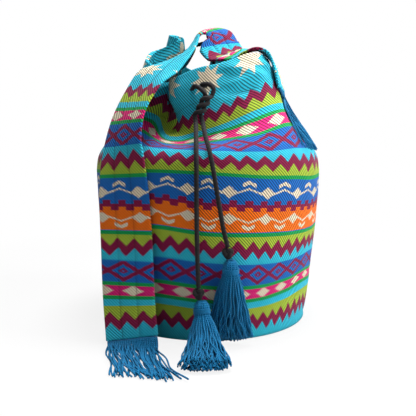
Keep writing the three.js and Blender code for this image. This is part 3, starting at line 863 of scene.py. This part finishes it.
# Knots and tassels on the tails

END_KNOT_DIAMETER = 11
TASSEL_NECK_DIAMETER = 15
TASSEL_FORM = [
    (0, 0.35, 0.35), (0.05, 0.85, 0.85), (0.1, 1, 1), (0.18, 1, 1), (0.26, 1.4, 1.2), (0.45, 1.9, 1.3),
    (0.7, 2.4, 1.1), (0.9, 2.8, 0.75), (1, 2.95, 0.5),
]
BINDING_AT = 0.14
BINDING_TURNS = 5
BINDING_WIDTH, BINDING_YARN_RADIUS = 4.6, 0.62
TASSEL_WAY = {
    "left": [(0, 0, 0), (0.5, -2, -12), (2, -10, -27), (3, -30, -39.8), (4.5, -65, -46.6)],
    "right": [(0, 0, 0), (0, 0.5, -12), (-0.5, 3, -45), (-1, 6, -88)],
}
TASSEL_STRANDS = 190
TASSEL_YARN_RADIUS = 0.78
TASSEL_SPREAD = 1.28
TASSEL_CURL = 1.5
STRAND_POINTS = 22
GOLDEN_TURN = 2 * math.pi * 0.618034
LOWEST_STRAND = 0.9


def end_knot(side, tail_end):
    """An overhand knot pulled tight: a trefoil of cord."""
    middle = tail_end - np.array([0, 0, END_KNOT_DIAMETER / 2 + CLEARANCE])
    t = np.linspace(0, 2 * np.pi, 91)
    loop = np.stack([np.sin(t) + 2 * np.sin(2 * t), 1.1 * np.sin(3 * t), np.cos(t) - 2 * np.cos(2 * t)], -1)
    turn = np.linspace(0, 2 * np.pi, 12, endpoint=False)[None]
    travel = np.arange(len(t))[:, None]
    builder = Builder()
    builder.tube(loop * 1.42 + middle, 2.35 * (0.92 + 0.1 * np.abs(np.cos(2 * turn + travel * 0.5))), 12)
    piece = builder.make(f"end_knot_{side}_tied", [cord_black])
    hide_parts(f"end_knot_{side}")
    return piece


def tassel_curve(side, tail_end):
    top = tail_end + np.array([3, 0, -(END_KNOT_DIAMETER + 2 * CLEARANCE)])
    return Curve([point + top for point in vectors(TASSEL_WAY[side])])


def tassel_section(curve, share):
    """Middle, directions across and outward, and half width and depth at shares of a tassel's length."""
    share = np.asarray(share, float)
    at = curve.share_of(share)
    along = curve.tangent(at)
    across = unit(np.array([1.0, 0, 0]) - along * along[..., :1])
    wide, deep = curve_through(TASSEL_FORM, share)
    neck = TASSEL_NECK_DIAMETER / 2
    return curve.at(at), across, np.cross(along, across), wide * neck, deep * neck


def tassel_strand(curve, n):
    """The way of strand n from the head of the tassel to its end, waving more towards the end."""
    reach = math.sqrt((n + 0.5) / TASSEL_STRANDS)
    start = 0.02 if reach > 0.55 else 0.1
    end = 0.98 - 0.07 * reach ** 2 + 0.02 * rng.random()
    shares = np.linspace(start, end, STRAND_POINTS)
    middle, across, out, wide, deep = tassel_section(curve, shares)
    sway = np.clip((shares - 0.2) / 0.8, 0, 1)
    turn = n * GOLDEN_TURN + 0.45 * (rng.random() - 0.5) * sway + 0.1 * np.sin(shares * 14 + n) * sway
    push = reach * (1 + (TASSEL_SPREAD - 1) * sway - 0.1 * sway * rng.random())
    curl = TASSEL_CURL * sway * np.sin(shares * (17 + 6 * rng.random()) + 5 * rng.random())
    points = middle + across * (wide * push * np.cos(turn) + curl)[:, None]
    points = points + out * (deep * push * np.sin(turn))[:, None]
    points[:, 2] = np.maximum(points[:, 2], LOWEST_STRAND)
    return points


def tassel(side, curve):
    builder = Builder()
    for n in range(TASSEL_STRANDS):
        builder.tube(tassel_strand(curve, n), TASSEL_YARN_RADIUS, 5)
    piece = builder.make(f"tassel_{side}_yarn", [yarn_blue])
    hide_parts(f"tassel_{side}")
    return piece


def tassel_binding(side, curve):
    """Yarn wound round the tassel's neck."""
    share = np.linspace(-0.5, 0.5, BINDING_TURNS * 20 + 1)
    middle, across, out, _, _ = tassel_section(curve, BINDING_AT)
    along = curve.tangent(curve.share_of(BINDING_AT))
    turn = share * BINDING_TURNS * 2 * np.pi
    reach = TASSEL_NECK_DIAMETER / 2 + 0.8
    coil = np.outer(np.cos(turn), across) + np.outer(np.sin(turn), out)
    builder = Builder()
    builder.tube(middle + np.outer(share * BINDING_WIDTH, along) + reach * coil, BINDING_YARN_RADIUS, 6)
    piece = builder.make(f"tassel_binding_{side}_wrap", [yarn_blue])
    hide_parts(f"tassel_binding_{side}")
    return piece


for side, (piece, path, curve, tail_end) in tails.items():
    knot = end_knot(side, tail_end)
    hank = tassel_curve(side, tail_end)
    skirt = tassel(side, hank)
    wrap = tassel_binding(side, hank)


# Body wall

# Where the drape carries the levels of the pattern: angle, then the cloth height of each level there
BAND_LEVELS = (-150, -137.5, -100.5, -61, -28, 0, 28, 61, 89.5, 100.5, 111, 137.5, 230)
BAND_PLACES = [
    (-180, *BAND_LEVELS),
    (-70, *BAND_LEVELS),
    (-25, -147, -134, -97, -56, -22.5, 5, 31, 64, 83.5, 91.5, 100.3, 126, 222),
    (0, -149.5, -137, -101, -60.9, -29, -0.3, 29, 58.8, 93.5, 101.9, 110, 133.5, 228),
    (25, -151, -138.3, -101.9, -65, -31.5, -3.9, 24.8, 54.4, 85, 101.9, 114.8, 142, 236),
    (45, -150, -137, -96.3, -64.5, -33, -5.6, 22.8, 57, 91, 105.3, 116.5, 146, 240),
    (60, -147, -134, -92, -61.5, -33, -6.4, 21.3, 58, 93, 107, 119, 147, 240),
    (110, *BAND_LEVELS),
    (180, *BAND_LEVELS),
]
# On the right side the motifs sit closer together the lower they are.
SIDE_SQUEEZE = 0.0028
SIDE_FROM, SIDE_TO = 45, 150


def pattern_height(angles, cloth):
    places = np.stack(curve_through(BAND_PLACES, wrapped(angles)), -1)
    return np.array([np.interp(row, place, BAND_LEVELS) for row, place in zip(cloth, places)])


def pattern_across(angle, cloth):
    u = np.radians(angle) * BELLY_RADIUS
    return u - SIDE_SQUEEZE * np.clip(cloth, -110, 90) * (np.clip(u, SIDE_FROM, SIDE_TO) - SIDE_FROM)


# Folds drawn on the cloth: angle and cloth height at both ends, half width and height
RUCKS = [
    ((6, 181), (39, 147), 6, 5),
    ((7, 171), (26, 160), 4, -2.2),
    ((6, 150), (30, 140), 4, -4),
    ((6, 158), (31, 153), 4, 2.4),
    ((8, 141), (24, 133), 5, 2),
    ((24, 176), (52, 154), 5, 3),
    ((-13, 172), (-20, 140), 4, 2),
    ((-27, 142), (-24, 100), 13, -20),
    ((8, 128), (30, 118), 6, 1.2),
]
NECK_MM_PER_DEGREE = math.pi / 180 * 80


def ruck(angle, cloth):
    """How far folds and small unevenness lift the cloth."""
    angle = wrapped(angle)
    total = np.zeros(angle.shape)
    for (angle_from, cloth_from), (angle_to, cloth_to), width, height in RUCKS:
        place = np.stack([(angle - angle_from) * NECK_MM_PER_DEGREE, cloth - cloth_from], -1)
        way = np.array([(angle_to - angle_from) * NECK_MM_PER_DEGREE, cloth_to - cloth_from])
        share = np.clip((place @ way) / way.dot(way), 0, 1)
        away = np.linalg.norm(place - share[..., None] * way, axis=-1)
        total = total + height * np.sin(np.pi * np.clip(share, 0.05, 0.95)) * np.exp(-(away / width) ** 2)
    turn = np.radians(angle)
    fine = 0.35 * np.sin(turn * 23 + 2 * np.sin(cloth / 31)) * np.sin(cloth / 17 + turn * 5)
    return total + fine * smoothstep(BASE_CLOTH, BASE_CLOTH + 15, cloth)


FRONT, REVERSE, SEWN = 0, 1, 2
BODY_COLUMNS, LOW_ROWS, HEM_ROWS = 300, 86, 28
HEM_STITCH_ROW = LOW_ROWS + 2
# The cloth's lowest rows hide the edge of the base: how far below it, how far proud and how thick
BASE_TURN = [(3.6, 1.9, 0.9), (0.2, 0.6, 1.0)]


def body_slots(rows):
    """Material numbers of one column of faces: up the outer face, over the rim and down the inner one."""
    outer = [SEWN if row == HEM_STITCH_ROW else FRONT for row in range(rows)]
    inner = []
    for row in range(rows - 2, -2, -1):
        inner.append(SEWN if row == HEM_STITCH_ROW else FRONT if row >= LOW_ROWS else REVERSE)
    return outer + inner


def body_wall():
    angles = BACK_SEAM_ANGLE + np.linspace(0, 360, BODY_COLUMNS + 1)
    top = rim_cloth(angles)[:, None]
    low = mix(BASE_CLOTH, top - HEM_DEPTH, np.linspace(0, 1, LOW_ROWS, endpoint=False))
    hem = top - HEM_DEPTH * np.linspace(1, 0, HEM_ROWS)
    cloth = np.concatenate([low, hem], 1)
    angle = angles[:, None] + np.zeros(cloth.shape)
    lift = ruck(angle, cloth)
    thickness = wall_thickness(angle, cloth)
    for row, (below, proud, thin) in enumerate(BASE_TURN):
        cloth[:, row] = BASE_CLOTH - below
        lift[:, row] = proud
        thickness[:, row] = thin
    outer = wall_at(angle, cloth, lift)
    inner = wall_at(angle, cloth, lift - thickness)
    points = np.concatenate([outer, inner[:, ::-1]], 1)[:-1]
    across = pattern_across(angle, cloth)
    height = pattern_height(angles, cloth)
    turned_in = 2 * height[:, -1:] - height
    inside = np.where(np.arange(cloth.shape[1]) >= LOW_ROWS, turned_in, height)
    u = np.concatenate([across, across[:, ::-1], across[:, :1]], 1)
    v = np.concatenate([height, inside[:, ::-1], height[:, :1]], 1)
    faces = ring_faces(BODY_COLUMNS, points.shape[1], closed=True)
    builder = Builder()
    builder.add(points, faces, ring_uvs(u, v), body_slots(cloth.shape[1]) * BODY_COLUMNS)
    piece = builder.make("body_cloth", [cloth_front, cloth_reverse, cloth_hem])
    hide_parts("body_wall")


body_wall()


# Base: a flat disc with a rounded edge, as shares of its radius and thickness
BASE_UNDER = [(0.2, 0), (0.45, 0), (0.7, 0), (0.9, 0), (0.96, 0), (0.985, 0), (0.995, 0.1), (1, 0.35)]
BASE_SIDES = 120


def base_panel():
    profile = BASE_UNDER + [(1, 0.5)] + [(share, 1 - up) for share, up in reversed(BASE_UNDER)]
    share, up = np.array(profile).T[:, :, None]
    turn = np.linspace(0, 2 * np.pi, BASE_SIDES, endpoint=False)
    wide = (BASE_HALF_WIDTH - BASE_EDGE_INSET) * share * np.sin(turn)
    deep = -(BASE_HALF_DEPTH - BASE_EDGE_INSET) * share * np.cos(turn)
    points = np.stack([wide, deep, np.broadcast_to(up * BASE_THICKNESS, wide.shape)], -1)
    last = (len(profile) - 1) * BASE_SIDES
    caps = [tuple(range(BASE_SIDES - 1, -1, -1)), tuple(range(last, last + BASE_SIDES))]
    builder = Builder()
    builder.add(points, ring_faces(len(profile), BASE_SIDES) + caps)
    # The base's near-black cloth is painted shade for the shadow line under the lower edge of the wall
    piece = builder.make("base_cloth_disc", [base_painted_shade])
    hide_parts("base_panel")


base_panel()


# Strap stations: angle round the bag, distance out, height, facing angle, tilt up and curl, counted from the
# belly on the hanging leg and from the neck and rim above it

STRAP_LEG = [
    (-28.6, 27, -0.948 * BELLY_HEIGHT, -12, 0, 0), (-31.9, 19.5, -0.75 * BELLY_HEIGHT, -12, 0, 0),
    (-34.7, 13.5, -0.41 * BELLY_HEIGHT, -13, 0, 0), (-36.7, 11, -0.16 * BELLY_HEIGHT, -16, 0, 0),
    (-39.2, 7, 12, -30, 5, 0), (-40.5, 4, 28, -40, 15, 0),
]
STRAP_LOOP = [
    (-41.9, 54, -81, -47, 22, 0), (-42, 32, -49, -44, 35, 0), (-44, 6, -25, -30, 48, 0.1),
    (-49, -16, -13, -46, 52, 0.1), (-62, -39, -4, -73, 42, 0.1), (-90, -54, 7, -86, 26, 0.1),
    (-115, -59, 19, -88, 30, 0.1), (-138, -62, 28, -60, 65, 0.12), (168, -66, 30, 20, 62, 0.12),
    (124, -64, 24, 24, 30, 0.12), (95, -61, 13, 22, 16, 0.1), (76, -53, 3, 24, 28, 0.1),
    (68, -41, -1, 30, 52, 0), (69, -25, 1, 20, 75, 0), (71, -11, 3, 60, 72, 0), (75, 0, -5, 77, 48, 0),
    (77, 9, -22, 77, 22, 0), (77, 15, -44, 77, 14, 0),
]
# Where the strap turns across its width, its inner edge is gathered: share of the stations and of the width
STRAP_GATHER = {
    "right": [(0.5, 1), (0.545, 0.45), (0.66, 0.45), (0.7, 1)],
    "left": [(0.74, 1), (0.77, 0.75), (0.795, 0.75), (0.82, 1)],
}


def strap_stations():
    middles, facings, curls = [], [], []
    legs = ((STRAP_LEG, BELLY_RADIUS, BELLY_HEIGHT), (STRAP_LOOP, NECK_RADIUS, RIM_HEIGHT))
    for rows, radius, height in legs:
        for turn, out, up, facing, tilt, curl in rows:
            a, f, t = math.radians(turn), math.radians(facing), math.radians(tilt)
            reach = radius + out
            middles.append((reach * math.sin(a), -reach * math.cos(a), height + up))
            facings.append((math.sin(f) * math.cos(t), -math.cos(f) * math.cos(t), math.sin(t)))
            curls.append((curl, 0, 0))
    return middles, facings, curls


strap_curve, facing_curve, curl_curve = [Curve(rows) for rows in strap_stations()]


def strap_point(share, across, outward):
    """A point of the strap: share of its stations, -1 to 1 across it, and outward from its middle layer."""
    share, across, outward = np.broadcast_arrays(
        np.asarray(share, float), np.asarray(across, float), np.asarray(outward, float))
    left, right = (np.interp(share, *np.array(STRAP_GATHER[edge]).T) for edge in ("left", "right"))
    across = across * np.where(across > 0, right, left)
    along = strap_curve.tangent(share)
    facing = facing_curve.at(share)
    facing = unit(facing - along * (facing * along).sum(-1, keepdims=True))
    side = np.cross(along, facing)
    bend = np.maximum(curl_curve.at(share)[..., 0], 1e-4) * math.radians(STRAP_CURL) / STRAP_WIDTH
    turn = across * STRAP_WIDTH / 2 * bend
    radius = 1 / bend + outward
    sideways = (radius * np.sin(turn))[..., None]
    up = (radius * np.cos(turn) - 1 / bend)[..., None]
    return strap_curve.at(share) + side * sideways + facing * up


# The strap's pattern: distance along the strap and level there, up to a sewn join inside the mouth, and then
# up to the end
STRAP_BANDS = [
    (0, -146), (33, -111), (80, -61), (137, 0), (199, 61), (251, 111), (278, 137.5), (434, 327), (470, 363),
]
STRAP_JOIN = 466
END_BANDS = [(STRAP_JOIN, 93.5), (510, 137.5), (570, 197.5)]
STRAP_SKEW = 0.08
STRAP_STEPS, STRAP_LANES = 420, 36


def strap_level(distance):
    before = np.interp(distance, *np.array(STRAP_BANDS).T)
    after = np.interp(distance, *np.array(END_BANDS).T)
    return np.where(distance < STRAP_JOIN, before, after)


def strap_half_thickness(across):
    """Thinner along its two rows of stitches and towards its edges."""
    seam = np.minimum(np.abs(across - 1 / 3), np.abs(across + 1 / 3)) * STRAP_WIDTH / 2
    edge = (1 - np.abs(across)) * STRAP_WIDTH / 2
    puff = 1 - 0.5 * np.exp(-(seam / 1.5) ** 2)
    return STRAP_THICKNESS / 2 * puff * (0.35 + 0.65 * np.sqrt(np.minimum(1, edge / 2.2)))


def strap():
    distance = np.linspace(0, strap_curve.length, STRAP_STEPS + 1)
    at = strap_curve.share_of(np.linspace(0, 1, STRAP_STEPS + 1))
    lanes = np.linspace(-1, 1, STRAP_LANES + 1)
    share, across = np.meshgrid(at, lanes, indexing="ij")
    wave = 0.35 * np.sin(distance / 19)[:, None] * np.sin(across * 2.5 + distance[:, None] / 47)
    half = strap_half_thickness(lanes)[None]
    outer = strap_point(share, across, half + wave)
    inner = strap_point(share, across, wave - half)
    points = np.concatenate([outer, inner[:, ::-1]], 1)
    sides = points.shape[1]
    round_lanes = np.concatenate([lanes, lanes[::-1], lanes[:1]]) * STRAP_WIDTH / 2
    u = np.broadcast_to(round_lanes + STRAP_PHASE, (STRAP_STEPS + 1, sides + 1))
    v = strap_level(distance)[:, None] + STRAP_SKEW * round_lanes
    joined = np.searchsorted(distance, STRAP_JOIN) - 1
    slots = [1 if i == joined else 0 for i in range(STRAP_STEPS) for _ in range(sides)]
    last = STRAP_STEPS * sides
    caps = [tuple(range(sides - 1, -1, -1)), tuple(range(last, last + sides))]
    cap_uvs = [[(u[row, 0], v[row, 0])] * sides for row in (0, -1)]
    builder = Builder()
    builder.add(points, ring_faces(STRAP_STEPS + 1, sides) + caps, ring_uvs(u, v) + cap_uvs, slots + [0, 0])
    piece = builder.make("strap_band", [strap_front, strap_join])
    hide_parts("strap")
    return piece


band = strap()


# Fringes: the left one lies on the ground, and the right one on the shoulder

FRINGE_LENGTH_LEFT, FRINGE_LENGTH_RIGHT = 80, 80
FRINGE_STRANDS = {"left": 84, "right": 56}
FRINGE_YARN_RADIUS = {"left": 0.85, "right": 0.7}
SHOULDER_FRINGE = {"from": 47, "to": 86, "turn": 9, "cloth": 134, "lift": 1.3}


def strand_on_ground(root, layer, jitter):
    length = FRINGE_LENGTH_LEFT * (0.92 + 0.14 * rng.random())
    drift = 0.3 * length + 22 * jitter
    ground = LOWEST_STRAND + 0.3 + max(0, layer) * 1.5
    x, y, _ = root
    return [
        root, root + (0.6, -3, -1.5), (x + 2, y - 11, ground + 2),
        (x + 0.25 * drift + 4 * jitter, y - 0.35 * length, ground),
        (x + 0.6 * drift - 6 * jitter, y - 0.68 * length, ground),
        (x + drift, y - length, ground),
    ]


def strand_on_shoulder(root, share, layer, jitter):
    form = SHOULDER_FRINGE
    length = FRINGE_LENGTH_RIGHT * (0.92 + 0.12 * rng.random())
    angle = mix(form["from"], form["to"], share) + 2 * jitter
    lift = form["lift"] + FRINGE_YARN_RADIUS["right"] + max(0, layer) * 1.2
    lying = []
    for along in (0.3, 0.6, 0.95):
        turned = angle + (form["turn"] + 5 * jitter) * along
        lying.append(wall_at(turned, form["cloth"] - along * length, lift))
    return [root] + lying


def fringe(side):
    end, outward = (0.0, -1) if side == "left" else (1.0, 1)
    along = strap_curve.tangent(end) * outward
    wave_way = np.array([1, 0, 0]) if side == "left" else np.array([0, 1, 0])
    strands = FRINGE_STRANDS[side]
    builder = Builder()
    for n in range(strands):
        share = (n + 0.5) / strands
        layer = n % 3 - 1
        root = strap_point(end, mix(-0.95, 0.95, share), layer * 0.6) + along * 0.2
        jitter = rng.random() - 0.5
        if side == "left":
            way = strand_on_ground(root, layer, jitter)
        else:
            way = strand_on_shoulder(root, share, layer, jitter)
        centres = Curve(vectors(way)).evenly(STRAND_POINTS)
        centres = centres + np.outer(0.8 * np.sin(np.linspace(0, 11, STRAND_POINTS) + 2 * n), wave_way)
        centres[:, 2] = np.maximum(centres[:, 2], LOWEST_STRAND + 0.1)
        builder.tube(centres, FRINGE_YARN_RADIUS[side], 6)
    piece = builder.make(f"strap_fringe_{side}_yarn", [yarn_blue])
    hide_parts(f"strap_fringe_{side}")
    return piece


fringes = [fringe("left"), fringe("right")]
